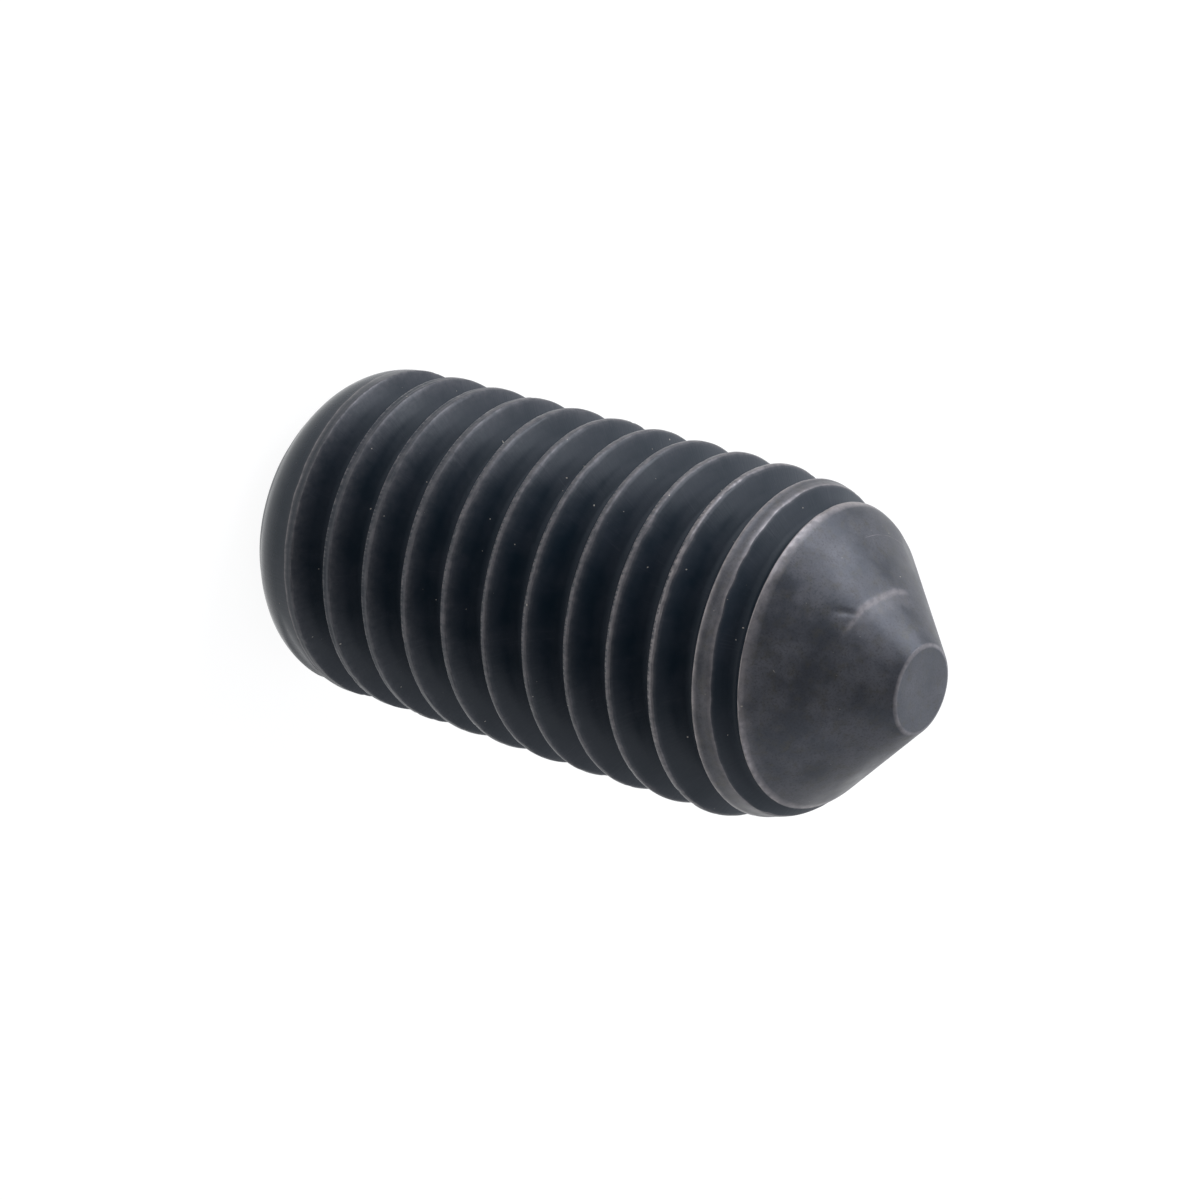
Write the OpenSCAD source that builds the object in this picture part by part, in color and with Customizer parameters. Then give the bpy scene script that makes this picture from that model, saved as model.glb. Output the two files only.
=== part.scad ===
// Hexagon socket set screw with a cone point and a rolled right-hand metric thread.
// One piece of steel. It stands on its socket end, with +Z along the screw towards the
// cone, and its origin is the centre of the face round the socket.

/* [Thread] */
// Nominal diameter of the thread
thread_d = 12; // [11:0.5:16]
// Pitch of the thread
pitch = 1.75; // [1.5:0.25:2]
// How far the crest diameter stays under the nominal one
crest_allowance = 0.16; // [0.06:0.02:0.3]
// Width of the flat on the crests, along the screw
crest_flat = 0.18; // [0.12:0.01:0.3]
// Radius of the rounded thread root
root_r = 0.25; // [0.16:0.01:0.28]
// Angle between the two flanks of the thread
flank_angle = 60; // [55:1:60]
// Straight pieces in one turn of the thread
turn_steps = 48; // [36:12:60]
// Turns over which the groove reaches its full depth at the socket end
run_in_turns = 1.25; // [0.5:0.25:2]

/* [Length] */
// Length of the screw over all
screw_l = 25; // [18:1:32]

/* [Cone point] */
// Diameter of the flat at the tip of the cone
tip_d = 3; // [2:0.25:5]
// Angle of the cone, from side to side
cone_angle = 90; // [80:5:110]
// Radius of the rounded edge of the tip flat
tip_edge_r = 0.25; // [0.1:0.05:0.6]
// Diameter at which the cone begins
shoulder_d = 10.5; // [10:0.1:10.9]
// Length over which the crests come down to the cone
shoulder_l = 2.2; // [1.2:0.1:4]
// Radius of the rounding where the crests begin to come down
shoulder_r = 4.5; // [0.5:0.1:5]
// Radius of the rounded edge where the cone begins
cone_edge_r = 1.2; // [0.3:0.1:3]

/* [Socket end] */
// Diameter of the flat face round the socket
face_d = 8.7; // [8.4:0.1:9.2]
// Radius of the rounded edge of that face
face_edge_r = 1.2; // [0.2:0.1:1.3]
// Length of the 45 degree chamfer outside that face
chamfer_l = 1.25; // [0.9:0.05:1.35]
// Radius of the rounding between the chamfer and the lead-in
chamfer_r = 2.5; // [0.2:0.1:2.5]
// Length over which the crests come up from the chamfer
lead_l = 2.7; // [2:0.1:4]
// How much lower than full height the crests are where this lead-in ends
lead_drop = 0.1; // [0:0.01:0.2]
// Radius of the rounding where the lead-in ends
lead_r = 2; // [0.2:0.1:3]
// Share of the screw's length, from the socket end, at which the crests are full
full_share = 0.48; // [0.3:0.02:0.5]
// Hexagon key that fits the socket, across its flats
key_af = 6; // [4:0.5:6]
// Clearance between the key and the socket, across the flats
key_clearance = 0.06; // [0.02:0.01:0.12]
// Depth of the hexagon in the socket
socket_l = 8; // [4:0.5:10]
// Angle of the conical bottom of the socket, from side to side
socket_bottom_angle = 120; // [90:10:140]
// How far the countersink reaches past the socket's corners, on the diameter
mouth_margin = 0.2; // [0.1:0.05:0.3]
// Angle of that countersink, from side to side
mouth_angle = 90; // [80:10:120]

/* [Hidden] */

crest_r = (thread_d - crest_allowance) / 2;
tip_r = tip_d / 2;
cone_r = shoulder_d / 2;
face_r = face_d / 2;
lead_end_r = crest_r - lead_drop;
// The lead-in rises at least this much, so the chamfer ends lower than that
least_lead = 0.1;
chamfer_end_r = min(face_r + chamfer_l, lead_end_r - least_lead);
cone_z = screw_l - (cone_r - tip_r) / tan(cone_angle / 2);

// Thread groove: half its width at the crests, and where its rounded root lies
half_flank = flank_angle / 2;
groove_half_w = (pitch - crest_flat) / 2;
groove_v_r = crest_r - groove_half_w / tan(half_flank);
root_centre_r = groove_v_r + root_r / sin(half_flank);
root_low_r = root_centre_r - root_r;
root_steps = 3;
corner_steps = 8;
// The groove is cut from beside the chamfer to where the cone is thinner than its root
cut_half_w = pitch / 2 - crest_flat / 20;
cut_r = groove_v_r + cut_half_w / tan(half_flank);
groove_start_z = pitch / 2;
groove_end_z = screw_l - (root_low_r - tip_r) / tan(cone_angle / 2) + groove_half_w;

// Hexagon socket
socket_flat_r = (key_af + key_clearance) / 2;
socket_corner_r = socket_flat_r / cos(30);
mouth_r = socket_corner_r + mouth_margin / 2;
// A cut that starts at the face begins this much outside it
cut_over = 0.1;

$fn = 120;

function unit(v) = v / norm(v);

// The corner at b, between the points a and c, rounded with radius r or as much of it as fits
function rounded(a, b, c, r) =
    let (
        u = unit(a - b),
        v = unit(c - b),
        half = acos(u * v) / 2,
        reach = min(r / tan(half), norm(a - b) * 0.48, norm(c - b) * 0.48),
        fit_r = reach * tan(half),
        centre = b + unit(u + v) * fit_r / sin(half),
        s = b + u * reach - centre,
        e = b + v * reach - centre,
        start = atan2(s.y, s.x),
        turn = atan2(s.x * e.y - s.y * e.x, s * e)
    )
    [for (i = [0:corner_steps]) centre + fit_r * [cos(start + turn * i / corner_steps),
                                                  sin(start + turn * i / corner_steps)]];

// The screw before its thread is cut: flat face, chamfer, lead-in, crests, shoulder, cone, tip
module blank() {
    axis_start = [0, 0];
    face_edge = [face_r, 0];
    chamfer_end = [chamfer_end_r, chamfer_l];
    lead_end = [lead_end_r, lead_l];
    full_start = [crest_r, screw_l * full_share];
    full_end = [crest_r, cone_z - shoulder_l];
    cone_start = [cone_r, cone_z];
    tip_edge = [tip_r, screw_l];
    axis_end = [0, screw_l];
    rotate_extrude()
        polygon(concat(
            [axis_start],
            rounded(axis_start, face_edge, chamfer_end, face_edge_r),
            rounded(face_edge, chamfer_end, lead_end, chamfer_r),
            rounded(chamfer_end, lead_end, full_start, lead_r),
            [full_start],
            rounded(full_start, full_end, cone_start, shoulder_r),
            rounded(full_end, cone_start, tip_edge, cone_edge_r),
            rounded(cone_start, tip_edge, axis_end, tip_edge_r),
            [axis_end]
        ));
}

// Section of the groove in a plane through the axis, as [radius, height from its middle]
groove_section = concat(
    [[cut_r, -cut_half_w]],
    [for (i = [0:root_steps])
        let (t = (half_flank - 90) * (1 - 2 * i / root_steps))
        [root_centre_r - root_r * cos(t), root_r * sin(t)]],
    [[cut_r, cut_half_w]]
);

// Share of its full depth that the groove has, the given turns after its start
function depth_share(turn) =
    let (t = min(turn / run_in_turns, 1))
    t * t * (3 - 2 * t);

// A point of that section, carried round and up by the given number of steps
function on_helix(p, step) =
    let (
        turn = step / turn_steps,
        r = p[0] > crest_r ? p[0] : crest_r - (crest_r - p[0]) * depth_share(turn)
    )
    [r * cos(360 * turn), r * sin(360 * turn), groove_start_z + pitch * turn + p[1]];

// The groove, swept along its helix as one solid
module thread_groove() {
    n = len(groove_section);
    steps = ceil((groove_end_z - groove_start_z) / pitch * turn_steps);
    points = [for (s = [0:steps]) for (p = groove_section) on_helix(p, s)];
    sides = [for (s = [0:steps - 1]) for (j = [0:n - 1])
        let (a = s * n + j, b = s * n + (j + 1) % n)
        each [[a, a + n, b + n], [a, b + n, b]]];
    start_cap = [for (j = [0:n - 1]) j];
    end_cap = [for (j = [n - 1:-1:0]) steps * n + j];
    polyhedron(points, concat([start_cap, end_cap], sides), convexity = 20);
}

// The hexagon socket with its countersunk mouth and conical bottom
module socket() {
    mouth_l = (mouth_r - socket_flat_r) / tan(mouth_angle / 2);
    over_r = cut_over * tan(mouth_angle / 2);
    translate([0, 0, -cut_over])
        linear_extrude(socket_l + cut_over)
            circle(r = socket_corner_r, $fn = 6);
    translate([0, 0, socket_l])
        cylinder(h = socket_flat_r / tan(socket_bottom_angle / 2), r1 = socket_flat_r, r2 = 0);
    translate([0, 0, -cut_over])
        cylinder(h = mouth_l + cut_over, r1 = mouth_r + over_r, r2 = socket_flat_r);
}

module set_screw() {
    color("#3a3d42")
        difference() {
            blank();
            thread_groove();
            socket();
        }
}

set_screw();
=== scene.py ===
"""Looks of a cone-point socket set screw: finer rolled thread, black oxide steel, white studio."""

import math

import bpy
import numpy as np
from mathutils import Matrix, Vector


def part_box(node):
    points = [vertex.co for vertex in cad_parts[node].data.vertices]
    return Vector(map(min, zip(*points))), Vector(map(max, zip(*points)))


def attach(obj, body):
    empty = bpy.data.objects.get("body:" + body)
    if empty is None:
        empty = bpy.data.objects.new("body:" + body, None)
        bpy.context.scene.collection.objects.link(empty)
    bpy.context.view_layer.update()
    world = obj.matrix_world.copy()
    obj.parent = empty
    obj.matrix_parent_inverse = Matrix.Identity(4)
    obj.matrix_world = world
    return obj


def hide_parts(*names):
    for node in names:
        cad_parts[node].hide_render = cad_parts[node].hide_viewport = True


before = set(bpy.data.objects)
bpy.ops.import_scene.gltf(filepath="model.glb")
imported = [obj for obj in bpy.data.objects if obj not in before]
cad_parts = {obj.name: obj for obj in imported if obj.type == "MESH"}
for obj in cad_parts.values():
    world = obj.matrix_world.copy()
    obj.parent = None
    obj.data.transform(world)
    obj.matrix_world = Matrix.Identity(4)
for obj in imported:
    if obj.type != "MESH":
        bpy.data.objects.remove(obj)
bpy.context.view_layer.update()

NODE = "set_screw"
MM = 0.001

# Sizes of the screw in millimetres, as in the CAD model
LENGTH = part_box(NODE)[1].z / MM
CREST_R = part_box(NODE)[1].x / MM
PITCH = 1.75
CREST_FLAT = 0.18
ROOT_R = 0.25
HALF_FLANK = math.radians(30)
TIP_R = 1.5
TIP_EDGE_R = 0.25
CONE_R = 5.25
CONE_SLOPE = math.radians(45)
CONE_EDGE_R = 1.2
SHOULDER_L = 2.2
SHOULDER_R = 4.5
FACE_R = 4.35
FACE_EDGE_R = 1.2
CHAMFER_L = 1.25
CHAMFER_R = 2.5
LEAD_L = 2.7
LEAD_DROP = 0.1
LEAD_R = 2.0
FULL_SHARE = 0.48
SOCKET_FLAT_R = 3.03
SOCKET_L = 8.0
SOCKET_BOTTOM = math.radians(60)
MOUTH_MARGIN = 0.1
MOUTH_SLOPE = math.radians(45)
# The groove's run-in, in turns. It begins later than in the CAD model and ends where that does
RUN_IN_START = 0.3
RUN_IN_TURNS = 0.95

CONE_Z = LENGTH - (CONE_R - TIP_R) / math.tan(CONE_SLOPE)
GROOVE_HALF_W = (PITCH - CREST_FLAT) / 2
GROOVE_V_R = CREST_R - GROOVE_HALF_W / math.tan(HALF_FLANK)
ROOT_CENTRE_R = GROOVE_V_R + ROOT_R / math.sin(HALF_FLANK)
ROOT_LOW_R = ROOT_CENTRE_R - ROOT_R
ROOT_HALF_W = ROOT_R * math.cos(HALF_FLANK)
FLANK_REACH = PITCH / 2 - ROOT_HALF_W

# Fineness of the mesh. The rows of a turn lie at shares of the half widths of crest and root,
# and at shares of the flanks from the crest down
COLUMNS = 240
ARC_STEPS = 10
CONE_RINGS = 64
TIP_RINGS = (1.0, 0.5)
CREST_SPOTS = (-1.0, -0.93, -0.7, -0.35, 0.0, 0.35, 0.7, 0.93, 1.0)
FLANK_SPOTS = (0.06, 0.15, 0.3, 0.65)
ROOT_SPOTS = (-1.0, -0.5, 0.0, 0.5, 1.0)
WIDTH_ROUNDS = 6
WIDEST_SHARE = 0.98
# The rows of the thread begin this high, and end this far past the end of its groove
ROWS_LOW_Z = 0.05
ROWS_PAST = 0.4
# Rings of the rounded end that lie under this share of that height are kept
END_SHARE = 0.8
# Most of a leg that the rounding of a corner may take, as in the CAD model
LEG_SHARE = 0.48
# Rows up to this many half widths from its middle are on the crest
ON_CREST = 1.001
# Rings this close to an edge of the socket keep it crisp
EDGE_GAP = 0.05
MOUTH_GAP = 0.02
MOUTH_STEP = 0.01
BOTTOM_GAP = 0.01

# Ranges over which something comes up from 0 to 1, as a start and a length. First the widths
# of the crest, in mm: where it is no longer sharp, is wide, and runs out into the cone
BLUNT = (0.19, 0.12)
WIDE = (0.45, 0.5)
RUNNING_OUT = (0.28, 0.2)
# Turns from the groove's start at which the first crest ends and its lower edge is worn
FIRST_CREST_ENDS = (1.8, 0.3)
FIRST_EDGE_WORN = (1.1, 0.1)
# Shares of the groove's full depth at which its edges are worn, and at which they are rounded
DEPTH_WORN = (0, 0.3)
DEPTH_ROUNDED = (0, 0.5)
# Millimetres that the blank is thicker than the groove's root, where its edges are worn
THICK_WORN = (0, 0.25)
# Heights at which the wear begins, and at which the rounded corners of the crests begin
WEAR_BEGINS = (1.3, 0.4)
CORNERS_BEGIN = (CHAMFER_L + 0.3, 0.5)
# Distances below the cone: where the ridge before it begins, and where the corners end
RIDGE_BEGINS = (-1, 0.6)
CORNERS_END = (0, 0.3)

# Rolled crests: the seam along their middle, their rounded corners and their unevenness
SEAM_DEPTH = 0.02
SEAM_HALF_W = 0.04
SEAM_UNWORN = 0.55
CORNER_DROP = 0.012
CORNER_HALF_W = 0.03
CREST_WANDER = 0.012
WANDER_SEED = 5
WANDER_RATES = (3, 40)
CREST_DENT = 0.02
DENT_SEED = 21
DENT_RATES = (20, 60)
DENT_LEVEL = 0.9

# Wear of the crests at some heights, and how much of it is the same all round the screw; the rest
# is a painted highlight, strongest on the side towards the lamps above
WEAR_HEIGHTS = (4.0, 13.0, 15.0, 16.6, 18.4, 20.0)
CREST_WEARS = (0.31, 0.32, 0.36, 0.45, 0.64, 0.76)
LIT_SIDE = math.radians(130)
WORN_ALL_ROUND = 0.6
CREST_MIDDLE = 0.4
# Painted highlight: the lower edges of the crests are made lighter than their wear alone, over the
# dark line where their rounded corners are shaded
LOW_EDGE_WEAR_AND_HIGHLIGHT = 1.5
FIRST_CREST_WEAR = 1.2
# How far the wear reaches from the crest's edges to its middle, and how much more where the
# thread runs out and on the first crest
EDGE_REACH = 0.04
RUN_OUT_REACH = 0.03
FIRST_CREST_REACH = 0.02
RUN_OUT_MIDDLE = 0.4
# How far the wear reaches onto the flank below each crest and onto the one above it. On the flank
# below, the stronger values near the cone are partly a painted highlight over the shaded lower
# corner
LOW_FLANK_REACH = 0.05
LOW_FLANK_WEARS_AND_HIGHLIGHTS = (0.4, 0.7, 0.8, 1.0, 1.3, 1.3)
HIGH_FLANK_REACHES = (0.12, 0.05, 0.05, 0.04, 0.03, 0.02)
HIGH_FLANK_WEAR = 0.8
# Painted highlight along a second edge of the ridge where the thread runs out into the cone, as its
# rounded lip catching the key light
RIDGE_W = 0.09
RIDGE_HALF_W = 0.05
RIDGE_HIGHLIGHT = 1.1
# How fast the crest's lower half is torn into feathers towards its edge
FEATHERING = 1.6
# The cone's turned finish ends where the groove is this deep
TURNED_DEPTH = 0.04
TIP_EDGE_WEAR = 0.5

# Mark round the cone where its end was struck: height, low step, a painted highlight along it and a
# painted lighter band on its tip side, and where it starts and ends
MARK_Z = 23.4
MARK_STEP = 0.05
MARK_STEP_W = 0.08
MARK_FADES = (0.2, 0.6)
MARK_HIGHLIGHT = 0.55
MARK_LINE_HALF_W = 0.06
MARK_BAND_LIGHT = 0.12
MARK_BAND = 0.2
MARK_START = math.radians(74)
MARK_START_L = 0.25
MARK_END = math.radians(150)
MARK_END_L = 0.4
MARK_SLANT = 0.2
MARK_WAVE = 0.02
MARK_WAVES = 11
NICK_ANGLE = math.radians(133)
NICK_Z = 23.14
NICK_CONE_R = 3.3
NICK_L = 0.26
NICK_HALF_W = 0.07
NICK_DEPTH = 0.055

# Camera, fitted to the photograph
CAMERA_AT = (-122.202, 37.573, 101.796)
CAMERA_ELEVATION = 35.151
CAMERA_AZIMUTH = 162.811
CAMERA_ROLL = -106.769
CAMERA_LENS = 138.0
CAMERA_SENSOR = 36
CAMERA_CLIP = (0.001, 20)


def camera_axes():
    """Right, up and back of the camera, as unit vectors in the part's frame."""
    az = math.radians(CAMERA_AZIMUTH)
    el = math.radians(CAMERA_ELEVATION)
    back = Vector((math.cos(el) * math.cos(az), math.cos(el) * math.sin(az), math.sin(el)))
    level_right = Vector((0, 0, 1)).cross(back).normalized()
    level_up = back.cross(level_right)
    roll = math.radians(CAMERA_ROLL)
    up = level_up * math.cos(roll) + level_right * math.sin(roll)
    return up.cross(back), up, back


def make_camera():
    data = bpy.data.cameras.new("camera")
    data.lens = CAMERA_LENS
    data.sensor_width = CAMERA_SENSOR
    data.clip_start, data.clip_end = CAMERA_CLIP
    obj = bpy.data.objects.new("camera", data)
    bpy.context.scene.collection.objects.link(obj)
    turn = Matrix(camera_axes()).transposed()
    obj.matrix_world = Matrix.Translation(Vector(CAMERA_AT) * MM) @ turn.to_4x4()
    bpy.context.scene.camera = obj


# Shapes of a number or an array

def smooth(x):
    """From 0 to 1 as x goes from 0 to 1, with a soft start and end."""
    x = np.clip(x, 0, 1)
    return x * x * (3 - 2 * x)


def rise(x, span):
    """From 0 at the start of the span to 1 at its end."""
    start, length = span
    return smooth((x - start) / length)


def fade(x, reach):
    return np.exp(-x / reach)


def bell(x, half_w):
    return np.exp(-(x / half_w) ** 2)


def ripple(swept, seed, rates, waves=24):
    """Smooth noise between about -1 and 1 along the helix, at the angles swept so far."""
    rng = np.random.default_rng(seed)
    total = np.zeros_like(swept)
    for _ in range(waves):
        rate = rng.uniform(*rates)
        phase = rng.uniform(0, 2 * math.pi)
        total += np.sin(rate * swept + phase)
    return total / math.sqrt(waves)


# Outline of the screw

def rounded(a, b, c, r):
    """Points of the corner at b, between a and c, rounded with radius r."""
    a, b, c = (np.array(p, float) for p in (a, b, c))
    u = a - b
    v = c - b
    leg = min(np.linalg.norm(u), np.linalg.norm(v)) * LEG_SHARE
    u = u / np.linalg.norm(u)
    v = v / np.linalg.norm(v)
    half = math.acos(float(u @ v)) / 2
    reach = min(r / math.tan(half), leg)
    fit_r = reach * math.tan(half)
    centre = b + (u + v) / np.linalg.norm(u + v) * fit_r / math.sin(half)
    s = b + u * reach - centre
    e = b + v * reach - centre
    start = math.atan2(s[1], s[0])
    turn = math.atan2(s[0] * e[1] - s[1] * e[0], float(s @ e))
    angles = start + turn * np.linspace(0, 1, ARC_STEPS + 1)
    return [tuple(centre + fit_r * np.array((math.cos(t), math.sin(t)))) for t in angles]


def outline():
    """The blank's side from the face round the socket to the tip flat, as (radius, height)."""
    axis_start = (0, 0)
    face_edge = (FACE_R, 0)
    chamfer_end = (FACE_R + CHAMFER_L, CHAMFER_L)
    lead_end = (CREST_R - LEAD_DROP, LEAD_L)
    full_start = (CREST_R, LENGTH * FULL_SHARE)
    full_end = (CREST_R, CONE_Z - SHOULDER_L)
    cone_start = (CONE_R, CONE_Z)
    tip_edge = (TIP_R, LENGTH)
    axis_end = (0, LENGTH)
    return np.array(
        rounded(axis_start, face_edge, chamfer_end, FACE_EDGE_R)
        + rounded(face_edge, chamfer_end, lead_end, CHAMFER_R)
        + rounded(chamfer_end, lead_end, full_start, LEAD_R)
        + [full_start]
        + rounded(full_start, full_end, cone_start, SHOULDER_R)
        + rounded(full_end, cone_start, tip_edge, CONE_EDGE_R)
        + rounded(cone_start, tip_edge, axis_end, TIP_EDGE_R)
    )


OUTLINE = outline()


def blank_r(z):
    return np.interp(z, OUTLINE[:, 1], OUTLINE[:, 0])


# Thread

def groove_r(v):
    """Radius of the groove's wall at the distance v from its middle, along the screw."""
    arc = ROOT_CENTRE_R - np.sqrt(np.maximum(ROOT_R**2 - v**2, 0))
    flank = GROOVE_V_R + v / math.tan(HALF_FLANK)
    return np.where(v < ROOT_HALF_W, arc, flank)


def crest_half_widths(swept, crest_z):
    """How far the crest reaches down and up from its middle: further where the blank is thinner."""
    half_widths = []
    for side in (-1, 1):
        w = np.full_like(crest_z, CREST_FLAT / 2)
        for _ in range(WIDTH_ROUNDS):
            w = CREST_FLAT / 2 + (CREST_R - blank_r(crest_z + side * w)) * math.tan(HALF_FLANK)
            w = np.clip(w, CREST_FLAT / 2, FLANK_REACH * WIDEST_SHARE)
        half_widths.append(w + CREST_WANDER * ripple(swept, WANDER_SEED + side, WANDER_RATES))
    return half_widths


def thread_rows(swept):
    """Heights, radii, wear with painted highlights, turned finish and feathering of the rows in one
    turn of the thread.

    Each row has a value for every column, at the angle swept since the groove's start. The rows
    follow the edges of the crest. The groove below the crest is a turn nearer to its start than
    the groove above."""
    turns = swept / (2 * math.pi)
    crest_z = PITCH * swept / (2 * math.pi)
    low_w, high_w = crest_half_widths(swept, crest_z)
    low_depth = rise(turns - 1, (RUN_IN_START, RUN_IN_TURNS))
    high_depth = rise(turns, (RUN_IN_START, RUN_IN_TURNS))
    low_begun = rise(turns, FIRST_EDGE_WORN)
    high_begun = rise(high_depth, DEPTH_WORN)
    first_crest = 1 - rise(turns, FIRST_CREST_ENDS)

    width = low_w + high_w
    sharp = 1 - rise(width, BLUNT)
    narrow = 1 - rise(width, WIDE)
    runs_out = rise(width, RUNNING_OUT) * (crest_z > LENGTH / 2)
    on_ridge = rise(crest_z - CONE_Z, RIDGE_BEGINS)

    # Painted highlight: the crests are lighter on the side towards the lamps above, on top of wear
    # that is the same all round
    facing = WORN_ALL_ROUND + (1 - WORN_ALL_ROUND) * np.cos(swept - LIT_SIDE)
    worn_and_lit = np.interp(crest_z, WEAR_HEIGHTS, CREST_WEARS) * facing
    low_share = np.interp(crest_z, WEAR_HEIGHTS, LOW_FLANK_WEARS_AND_HIGHLIGHTS)
    high_reach = np.interp(crest_z, WEAR_HEIGHTS, HIGH_FLANK_REACHES)
    middle = (CREST_MIDDLE + (1 - CREST_MIDDLE) * sharp) * narrow
    middle = middle * (1 - (1 - RUN_OUT_MIDDLE) * runs_out)
    edge_reach = EDGE_REACH + RUN_OUT_REACH * runs_out + FIRST_CREST_REACH * first_crest
    edge_wear = 1 + (FIRST_CREST_WEAR - 1) * first_crest

    # Rows from the root below the crest to the one above, as distances from the crest's middle
    offsets = []
    wears_and_highlights = []

    def add_row(offset, wear_and_highlight=0.0):
        offsets.append(offset + 0 * crest_z)
        wears_and_highlights.append(wear_and_highlight + 0 * crest_z)

    for spot in ROOT_SPOTS[2:]:
        add_row(-PITCH / 2 + spot * ROOT_HALF_W)
    for spot in reversed(FLANK_SPOTS):
        down = spot * (FLANK_REACH - low_w)
        add_row(-(low_w + down), low_share * worn_and_lit * fade(down, LOW_FLANK_REACH) * low_begun)
    for spot in CREST_SPOTS:
        below = spot < 0
        half_w = low_w if below else high_w
        gap = (1 - abs(spot)) * half_w
        groove_z = crest_z + (-PITCH / 2 if below else PITCH / 2)
        grooved = rise(blank_r(groove_z) - ROOT_LOW_R, THICK_WORN)
        grooved = grooved * (low_begun if below else high_begun)
        # The lower edge is made lighter than its wear alone, a painted highlight over its shaded
        # corner
        edge = fade(gap, edge_reach) * edge_wear * (LOW_EDGE_WEAR_AND_HIGHLIGHT if below else 1.0)
        # Painted highlight along the ridge before the cone
        ridge_highlight = RIDGE_HIGHLIGHT * bell(gap - RIDGE_W, RIDGE_HALF_W) * on_ridge
        add_row(spot * half_w, np.maximum(edge * worn_and_lit * grooved, middle * worn_and_lit) + ridge_highlight * grooved)
    for spot in FLANK_SPOTS:
        down = spot * (FLANK_REACH - high_w)
        add_row(high_w + down, HIGH_FLANK_WEAR * worn_and_lit * fade(down, high_reach) * high_begun)
    for spot in ROOT_SPOTS[:2]:
        add_row(PITCH / 2 + spot * ROOT_HALF_W)

    offset = np.array(offsets)
    z = crest_z + offset
    depth = np.where(offset < 0, low_depth, high_depth)
    cut_r = CREST_R - depth * (CREST_R - groove_r(PITCH / 2 - np.abs(offset)))
    r = np.minimum(blank_r(z), cut_r)

    # The crests and what is left of the cone between the last grooves keep the blank's surface
    on_crest = (offset > -low_w * ON_CREST) & (offset < high_w * ON_CREST)
    uncut = smooth(1 - (blank_r(z) - r) / TURNED_DEPTH) * (z > CONE_Z)
    turned = np.maximum(on_crest * runs_out, uncut)
    feather = np.clip(-FEATHERING * offset / low_w, 0, 1) * on_crest
    feather = feather * (crest_z < CONE_Z - SHOULDER_L) * (1 - first_crest)

    # Rolled crest: a seam along its middle, rounded corners, and shallow dents along it
    seam = bell(offset, SEAM_HALF_W) * narrow * (1 - sharp)
    dents = np.maximum(ripple(swept, DENT_SEED, DENT_RATES) - DENT_LEVEL, 0)
    low_corner = bell(low_w + offset, CORNER_HALF_W) * rise(low_depth, DEPTH_ROUNDED)
    high_corner = bell(high_w - offset, CORNER_HALF_W) * rise(high_depth, DEPTH_ROUNDED)
    on_thread = rise(z, CORNERS_BEGIN) * rise(CONE_Z - z, CORNERS_END)
    corners = CORNER_DROP * (1 + sharp) * (low_corner + high_corner) * on_thread
    drop = SEAM_DEPTH * seam * rise(low_depth, DEPTH_ROUNDED) + CREST_DENT * dents * narrow
    r = r - on_crest * (drop + corners)

    wear_and_highlight = np.array(wears_and_highlights) * rise(z, WEAR_BEGINS) * (1 - SEAM_UNWORN * seam)
    return z, r, wear_and_highlight, turned, feather


def cone_mark(angle, z):
    """How far the cone sinks at the mark round it and the nick beside that, and the painted
    highlight and lighter band along the mark.
    """
    window = smooth((angle - MARK_START) / MARK_START_L) * smooth((MARK_END - angle) / MARK_END_L)
    wander = MARK_SLANT * (NICK_ANGLE - angle) + MARK_WAVE * np.sin(MARK_WAVES * angle)
    past = z - MARK_Z - wander
    step = MARK_STEP * window * smooth(past / MARK_STEP_W + 0.5) * (1 - rise(past, MARK_FADES))
    # Painted highlight along the mark's edge, and a painted lighter band on its tip side
    mark_light = MARK_HIGHLIGHT * bell(past, MARK_LINE_HALF_W)
    mark_light = mark_light + MARK_BAND_LIGHT * bell(past - MARK_BAND, MARK_BAND)
    round_way = (angle - NICK_ANGLE) * NICK_CONE_R
    down_way = NICK_Z - z
    along = (round_way + down_way) / math.sqrt(2) / NICK_L
    across = (round_way - down_way) / math.sqrt(2) / NICK_HALF_W
    return step + NICK_DEPTH * np.exp(-along**2 - across**2), mark_light * window


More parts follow.
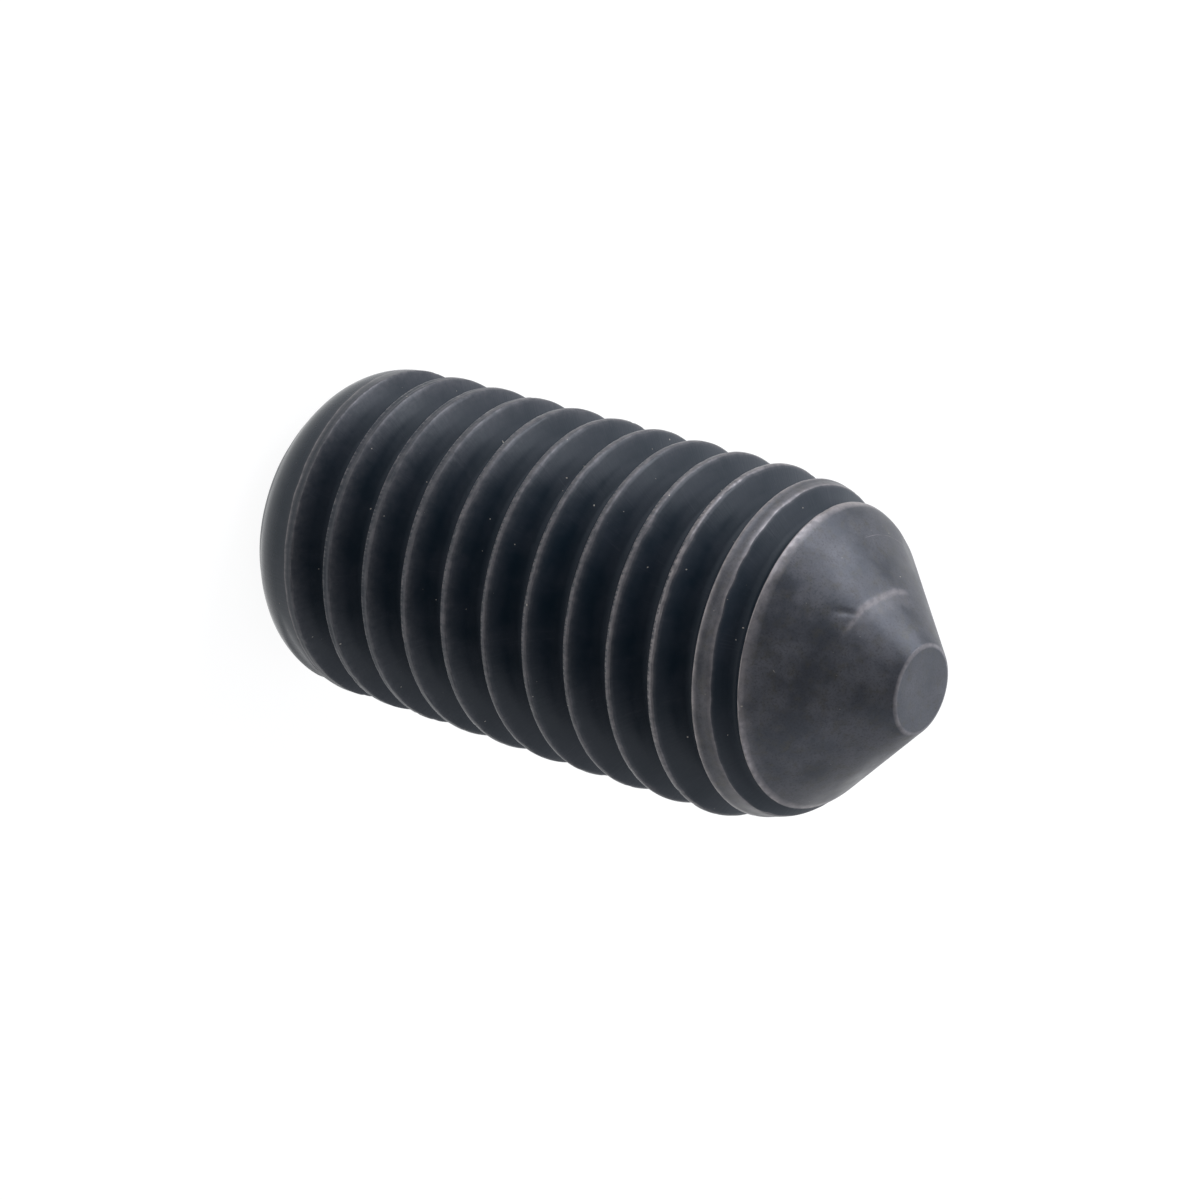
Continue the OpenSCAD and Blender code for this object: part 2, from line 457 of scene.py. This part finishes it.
def screw_mesh():
    """The whole screw as vertices in millimetres, faces and the finish at each vertex."""
    angle = 2 * math.pi * np.arange(COLUMNS) / COLUMNS
    low_z = ROWS_LOW_Z
    high_z = LENGTH - (ROOT_LOW_R - TIP_R) / math.tan(CONE_SLOPE) + ROWS_PAST
    turns = range(-1, math.ceil(high_z / PITCH) + 1)
    parts = [thread_rows(angle + 2 * math.pi * k) for k in turns]
    heights, radii, *finishes = (np.concatenate([p[i] for p in parts]) for i in range(5))
    n_rows = len(heights)
    per_turn = n_rows // len(turns)

    verts = []
    faces = []
    finish_at = []

    def ring(r, z, wear_and_highlight=0.0):
        first = len(verts)
        rr, zz, wears_and_highlights = (np.broadcast_to(values, angle.shape) for values in (r, z, wear_and_highlight))
        verts.extend(zip(rr * np.cos(angle), rr * np.sin(angle), zz))
        on_point = float(np.mean(z) > LENGTH / 2)
        finish_at.extend((w, on_point, 0.0) for w in wears_and_highlights)
        return list(range(first, first + COLUMNS))

    def bridge(low, high):
        for i in range(COLUMNS):
            j = (i + 1) % COLUMNS
            faces.append((low[i], low[j], high[j], high[i]))

    def fan(z, edge, up):
        verts.append((0, 0, z))
        finish_at.append((0.0, float(up), 0.0))
        c = len(verts) - 1
        for i in range(COLUMNS):
            j = (i + 1) % COLUMNS
            faces.append((edge[i], edge[j], c) if up else (edge[j], edge[i], c))

    # Thread, from just above the face to where the cone is thinner than the groove's root
    low_ring = ring(blank_r(low_z), low_z)
    high_ring = ring(blank_r(high_z), high_z)
    index = np.zeros(heights.shape, int)
    for i in range(COLUMNS):
        c = math.cos(angle[i])
        s = math.sin(angle[i])
        for row in range(n_rows):
            z = heights[row, i]
            if z <= low_z:
                index[row, i] = low_ring[i]
            elif z >= high_z:
                index[row, i] = high_ring[i]
            else:
                index[row, i] = len(verts)
                verts.append((radii[row, i] * c, radii[row, i] * s, z))
                finish_at.append([f[row, i] for f in finishes])
    # The last column joins the first one a turn further on
    for i in range(COLUMNS):
        j = (i + 1) % COLUMNS
        shift = per_turn if j == 0 else 0
        for row in range(n_rows - 1):
            right = row + shift
            if right + 1 < n_rows:
                b, c = index[right, j], index[right + 1, j]
            else:
                b = c = high_ring[j]
            corners = [index[row, i], b, c, index[row + 1, i]]
            face = [v for k, v in enumerate(corners) if v != corners[k - 1]]
            if len(face) > 2:
                faces.append(tuple(face))

    # Cone and tip
    previous = high_ring
    tip_corner = OUTLINE[-ARC_STEPS - 1:]
    for z in np.linspace(high_z, tip_corner[0][1], CONE_RINGS)[1:-1]:
        # The mark's painted highlight is stored with the wear
        sink, mark_light = cone_mark(angle, z)
        current = ring(blank_r(z) - sink, z, mark_light)
        bridge(previous, current)
        previous = current
    for step, (r, z) in enumerate(tip_corner):
        current = ring(r, z, TIP_EDGE_WEAR * math.sin(math.pi * step / ARC_STEPS))
        bridge(previous, current)
        previous = current
    for r in TIP_RINGS:
        current = ring(r, LENGTH)
        bridge(previous, current)
        previous = current
    fan(LENGTH, previous, True)

    # Rounded edge and face round the socket
    previous = low_ring
    for r, z in reversed([p for p in OUTLINE[:ARC_STEPS + 1] if p[1] < low_z * END_SHARE]):
        current = ring(r, z)
        bridge(current, previous)
        previous = current

    # Socket, from its countersunk mouth to the middle of its conical bottom
    hexagon = SOCKET_FLAT_R / np.cos(np.mod(angle, math.pi / 3) - math.pi / 6)
    mouth_r = SOCKET_FLAT_R / math.cos(math.pi / 6) + MOUTH_MARGIN
    mouth_l = (mouth_r - hexagon) / math.tan(MOUTH_SLOPE)
    half_r = SOCKET_FLAT_R / 2
    socket = [
        (mouth_r + MOUTH_GAP, 0),
        (mouth_r, MOUTH_STEP),
        (hexagon, mouth_l),
        (hexagon, mouth_l + EDGE_GAP),
        (hexagon, SOCKET_L / 2),
        (hexagon, SOCKET_L - EDGE_GAP),
        (hexagon, SOCKET_L),
        (SOCKET_FLAT_R - BOTTOM_GAP, SOCKET_L),
        (half_r, SOCKET_L + half_r / math.tan(SOCKET_BOTTOM)),
    ]
    for r, z in socket:
        current = ring(r, z)
        bridge(current, previous)
        previous = current
    fan(SOCKET_L + SOCKET_FLAT_R / math.tan(SOCKET_BOTTOM), previous, False)
    return np.array(verts), faces, np.array(finish_at)


def make_screw():
    verts, faces, finish_at = screw_mesh()
    mesh = bpy.data.meshes.new("steel_screw")
    mesh.from_pydata((verts * MM).tolist(), [], faces)
    mesh.update()
    mesh.polygons.foreach_set("use_smooth", [True] * len(mesh.polygons))
    # The first attribute holds wear together with painted highlights
    for name, values in zip(("wear_and_highlight", "turned", "feather"), finish_at.T):
        attribute = mesh.attributes.new(name, "FLOAT", "POINT")
        attribute.data.foreach_set("value", values)
    obj = bpy.data.objects.new("steel_screw", mesh)
    bpy.context.scene.collection.objects.link(obj)
    return obj


# Materials

class Graph:
    """Short names for the few kinds of node that the material and the world are made of."""

    def __init__(self, tree):
        self.tree = tree

    def node(self, kind, **settings):
        made = self.tree.nodes.new("ShaderNode" + kind)
        for name, value in settings.items():
            setattr(made, name, value)
        return made

    def feed(self, socket, value):
        if isinstance(value, bpy.types.NodeSocket):
            self.tree.links.new(value, socket)
        else:
            socket.default_value = value

    def math(self, operation, a, b=0.0, c=0.0):
        made = self.node("Math", operation=operation)
        for socket, value in zip(made.inputs, (a, b, c)):
            self.feed(socket, value)
        return made.outputs[0]

    def vector_math(self, operation, a, b):
        made = self.node("VectorMath", operation=operation)
        self.feed(made.inputs[0], a)
        self.feed(made.inputs[1], b)
        return made.outputs

    def vector(self, operation, a, b=(0, 0, 0)):
        return self.vector_math(operation, a, b)["Vector"]

    def number(self, operation, a, b=(0, 0, 0)):
        return self.vector_math(operation, a, b)["Value"]

    def height(self, vector):
        made = self.node("SeparateXYZ")
        self.feed(made.inputs[0], vector)
        return made.outputs["Z"]

    def stretch(self, vector, scale):
        made = self.node("Mapping")
        self.feed(made.inputs["Vector"], vector)
        made.inputs["Scale"].default_value = (scale, scale, scale)
        return made.outputs[0]

    def noise(self, vector, scale, detail=3.0, roughness=0.5):
        made = self.node("TexNoise")
        self.feed(made.inputs["Vector"], vector)
        made.inputs["Scale"].default_value = scale
        made.inputs["Detail"].default_value = detail
        made.inputs["Roughness"].default_value = roughness
        return made.outputs[0]

    def between(self, value, low, high, to_low=0.0, to_high=1.0):
        made = self.node("MapRange", interpolation_type="SMOOTHSTEP")
        for name, number in zip(("Value", "From Min", "From Max", "To Min", "To Max"),
                                (value, low, high, to_low, to_high)):
            self.feed(made.inputs[name], number)
        return made.outputs[0]

    def mix(self, fac, a, b):
        made = self.node("Mix", data_type="RGBA")
        self.feed(made.inputs[0], fac)
        self.feed(made.inputs[6], a)
        self.feed(made.inputs[7], b)
        return made.outputs[2]


OXIDE_DARK = (0.005, 0.012, 0.020, 1)
OXIDE_PALE = (0.012, 0.018, 0.027, 1)
TURNED_DARK = (0.045, 0.048, 0.057, 1)
TURNED_PALE = (0.086, 0.086, 0.096, 1)
TURNED_DIM = (0.022, 0.023, 0.024, 1)
TURNED_BROWN = (0.060, 0.056, 0.045, 1)
SCRATCHED = (0.050, 0.055, 0.065, 1)
# Pale steel of rubbed edges, also painted as highlight on the lit side of the crests, their lower
# edges, the ridge and the mark
RUBBED_AND_HIGHLIGHT = (0.262, 0.241, 0.243, 1)
DUST = (0.35, 0.32, 0.28, 1)

# Scale of the noise that combs the streaks: round the screw and along it
COMB_ROUND = 6
COMB_ALONG = 60

# Values of a noise between which one finish goes over into the next
PALE_PATCHES = (0.35, 0.65)
SCRATCHED_STREAKS = (0.55, 0.7)
SCRATCHED_PATCHES = (0.5, 0.65)
PALE_CLOUDS = (0.32, 0.68)
BROWN_BLOTCHES = (0.45, 0.8)
DIM_GRAIN = (0.45, 0.75)
TORN_STREAKS = (0.44, 0.54)
UNEVEN_SPAN = (0.3, 0.7)
DUSTY = (0.79, 0.82)
ROUGH_PATCHES = (0.3, 0.7)
ROUGH_CLOUDS = (0.35, 0.65)

# The most that each of these shows in the colour below it
SCRATCHED_MOST = 0.2
BROWN_MOST = 0.8
DIM_MOST = 0.45
# Wear varies between these shares of what the mesh says
UNEVEN_WEAR = (0.65, 1.35)

# Roughness of the rolled thread, and what is added elsewhere
OXIDE_ROUGHNESS = (0.31, 0.41)
TURNED_ROUGHER = 0.12
ROOT_ROUGHER = 0.2
END_ROUGHER = -0.16
ROOT_DULL_R = (4.9, 5.3)
END_SMOOTH_Z = (1.2, 2.4)
RUBBED_AND_HIGHLIGHT_METAL = 0.9
TURNED_METAL = 0.4
STEEL_IOR = 1.35
# Relief of the rolled surface and of worn or turned ones: depth in mm, and strengths
RELIEF = 0.012
RELIEF_ROLLED = 0.4
RELIEF_WORN = 0.12
GRAIN_SHARE = 0.2


def steel():
    mat = bpy.data.materials.new("black_oxide_steel")
    mat.use_nodes = True
    g = Graph(mat.node_tree)
    shader = mat.node_tree.nodes["Principled BSDF"]
    place = g.node("TexCoord").outputs["Object"]
    in_mm = g.stretch(place, 1 / MM)
    # Streaks across the thread: fast changes round the screw, slow ones along its flanks
    from_axis = g.vector("MULTIPLY", place, (1, 1, 0))
    outward = g.vector("NORMALIZE", from_axis)
    combed = g.vector("ADD", g.stretch(outward, COMB_ROUND), g.stretch(place, COMB_ALONG))
    streaks = g.noise(combed, scale=9.0, detail=3.0)
    patches = g.noise(in_mm, scale=0.8, detail=5.0, roughness=0.6)
    clouds = g.noise(in_mm, scale=0.9, detail=5.0, roughness=0.55)
    blotches = g.noise(in_mm, scale=2.6, detail=6.0, roughness=0.7)
    grain = g.noise(in_mm, scale=14.0, detail=3.0, roughness=0.6)
    unevenness = g.noise(in_mm, scale=4.0, detail=4.0, roughness=0.6)
    dust = g.noise(in_mm, scale=5.0, detail=1.0)
    # Wear with painted highlights, turned finish and feathering, as stored on the mesh
    wear_and_highlight, turned, feather = (g.node("Attribute", attribute_name=name).outputs["Fac"]
                             for name in ("wear_and_highlight", "turned", "feather"))

    # Black oxide: on the rolled thread, and clouded on the turned faces
    rolled = g.mix(g.between(patches, *PALE_PATCHES), OXIDE_DARK, OXIDE_PALE)
    scratched = g.math("MULTIPLY", g.between(streaks, *SCRATCHED_STREAKS),
                       g.between(patches, *SCRATCHED_PATCHES))
    rolled = g.mix(g.math("MULTIPLY", scratched, SCRATCHED_MOST), rolled, SCRATCHED)
    face = g.mix(g.between(clouds, *PALE_CLOUDS), TURNED_DARK, TURNED_PALE)
    face = g.mix(g.between(blotches, *BROWN_BLOTCHES, 0.0, BROWN_MOST), face, TURNED_BROWN)
    face = g.mix(g.between(grain, *DIM_GRAIN, 0.0, DIM_MOST), face, TURNED_DIM)
    oxide = g.mix(turned, rolled, face)

    # Rubbed edges and painted highlights, torn into feathers below, and specks of dust
    torn = g.math("MULTIPLY", feather, g.between(streaks, *TORN_STREAKS, 1.0, 0.0))
    whole = g.math("SUBTRACT", 1.0, torn)
    uneven = g.between(unevenness, *UNEVEN_SPAN, *UNEVEN_WEAR)
    rubbed_and_highlight = g.math("MULTIPLY", g.math("MULTIPLY", wear_and_highlight, uneven), whole)
    rubbed_and_highlight = g.math("MINIMUM", rubbed_and_highlight, 1.0)
    colour = g.mix(rubbed_and_highlight, oxide, RUBBED_AND_HIGHLIGHT)
    colour = g.mix(g.between(dust, *DUSTY), colour, DUST)
    g.feed(shader.inputs["Base Color"], colour)

    # Duller on the turned faces and in the roots of the thread, smoother on the socket end
    rough = g.between(patches, *ROUGH_PATCHES, *OXIDE_ROUGHNESS)
    clouded = g.between(clouds, *ROUGH_CLOUDS, 0.0, TURNED_ROUGHER)
    rough = g.math("ADD", rough, g.math("MULTIPLY", turned, clouded))
    root_start, root_end = ROOT_DULL_R
    in_root = g.between(g.number("LENGTH", from_axis), root_start * MM, root_end * MM,
                        ROOT_ROUGHER, 0.0)
    rough = g.math("ADD", rough, g.math("MULTIPLY", in_root, g.math("SUBTRACT", 1.0, turned)))
    end_start, end_end = END_SMOOTH_Z
    at_end = g.between(g.height(place), end_start * MM, end_end * MM, END_ROUGHER, 0.0)
    g.feed(shader.inputs["Roughness"], g.math("ADD", rough, at_end))
    # Metallic where the steel is rubbed, where highlights are painted, and on the turned faces
    metal = g.math("MAXIMUM", g.math("MULTIPLY", rubbed_and_highlight, RUBBED_AND_HIGHLIGHT_METAL),
                   g.math("MULTIPLY", turned, TURNED_METAL))
    g.feed(shader.inputs["Metallic"], metal)
    shader.inputs["IOR"].default_value = STEEL_IOR

    bump = g.node("Bump")
    bump.inputs["Distance"].default_value = RELIEF * MM
    smoothed = g.math("MAXIMUM", wear_and_highlight, turned)
    strength = g.between(smoothed, 0.0, 1.0, RELIEF_ROLLED, RELIEF_WORN)
    g.feed(bump.inputs["Strength"], strength)
    g.feed(bump.inputs["Height"], g.math("MULTIPLY_ADD", grain, GRAIN_SHARE, streaks))
    g.feed(shader.inputs["Normal"], bump.outputs[0])
    return mat


# Studio

STUDIO_TINT = (0.93, 0.97, 1.05)
# Light of the room in front and below as shares of the white backdrop's, and between which
# shares of the camera's own direction it changes
FRONT_LEVEL = 0.3
FRONT_SPAN = (-0.75, 0.1)
BELOW_LEVEL = 0.65
BELOW_SPAN = (-0.8, 0.1)
LAMP_REACH = 0.34
FLOOR_SIZE = 4
FLOOR_COLOUR = (0.9, 0.9, 0.9, 1)
FLOOR_GLOW = 1.1
FLOOR_GLOW_SHARE = 0.85


def make_world():
    """A white backdrop all round the screw; a dimmer room in front of it and below."""
    world = bpy.data.worlds.new("studio")
    bpy.context.scene.world = world
    world.use_nodes = True
    g = Graph(world.node_tree)
    _, up, back = camera_axes()
    facing = g.node("TexCoord").outputs["Generated"]
    front = g.between(g.number("DOT_PRODUCT", facing, -back), *FRONT_SPAN, FRONT_LEVEL, 1.0)
    below = g.between(g.number("DOT_PRODUCT", facing, up), *BELOW_SPAN, BELOW_LEVEL, 1.0)
    room = g.math("MULTIPLY", front, below)

    # Plain white where it is seen; in the steel and on the floor it is as bright as the room
    path = g.node("LightPath")
    seen = g.math("MAXIMUM", path.outputs["Is Camera Ray"], path.outputs["Is Transmission Ray"])
    mirrored = g.math("MULTIPLY", path.outputs["Is Glossy Ray"], room)
    shown = g.math("MAXIMUM", seen, mirrored)
    background = world.node_tree.nodes["Background"]
    g.feed(background.inputs["Color"], g.mix(seen, (*STUDIO_TINT, 1), (1, 1, 1, 1)))
    g.feed(background.inputs["Strength"], g.math("MAXIMUM", shown, room))


def make_lamp(name, towards, size, power):
    """A soft square lamp towards the given shares of the camera's right, up and back."""
    shares = [axis * share for axis, share in zip(camera_axes(), towards)]
    away = sum(shares, Vector()).normalized()
    data = bpy.data.lights.new(name, "AREA")
    data.shape = "SQUARE"
    data.size = size
    data.energy = power
    data.color = STUDIO_TINT
    obj = bpy.data.objects.new(name, data)
    bpy.context.scene.collection.objects.link(obj)
    middle = Vector((0, 0, LENGTH / 2 * MM))
    obj.location = middle + away * LAMP_REACH
    obj.rotation_euler = away.to_track_quat("Z", "Y").to_euler()


def make_floor():
    """A white floor, mostly glowing, so that it stays white and still keeps a soft shadow."""
    bpy.ops.mesh.primitive_plane_add(size=FLOOR_SIZE)
    floor = bpy.context.object
    floor.name = "floor"
    mat = bpy.data.materials.new("floor_white")
    mat.use_nodes = True
    nodes = mat.node_tree.nodes
    links = mat.node_tree.links
    diffuse = nodes["Principled BSDF"]
    diffuse.inputs["Base Color"].default_value = FLOOR_COLOUR
    diffuse.inputs["Roughness"].default_value = 1
    diffuse.inputs["Specular IOR Level"].default_value = 0
    glow = nodes.new("ShaderNodeEmission")
    glow.inputs["Strength"].default_value = FLOOR_GLOW
    mix = nodes.new("ShaderNodeMixShader")
    mix.inputs["Fac"].default_value = FLOOR_GLOW_SHARE
    links.new(diffuse.outputs["BSDF"], mix.inputs[1])
    links.new(glow.outputs["Emission"], mix.inputs[2])
    links.new(mix.outputs["Shader"], nodes["Material Output"].inputs["Surface"])
    floor.data.materials.append(mat)


make_camera()
screw = make_screw()
screw.data.materials.append(steel())
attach(screw, "root")
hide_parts(NODE)
make_world()
make_lamp("lamp_key", towards=(0.72, 0.63, 0.2), size=0.2, power=0.62)
make_lamp("lamp_above", towards=(0.15, 0.95, 0.3), size=0.3, power=0.78)
make_lamp("lamp_right", towards=(0.9, -0.2, -0.35), size=0.3, power=0.22)
make_lamp("lamp_below", towards=(0.3, -0.86, 0.3), size=0.25, power=0.14)
make_floor()
bpy.context.scene.view_settings.view_transform = "Standard"
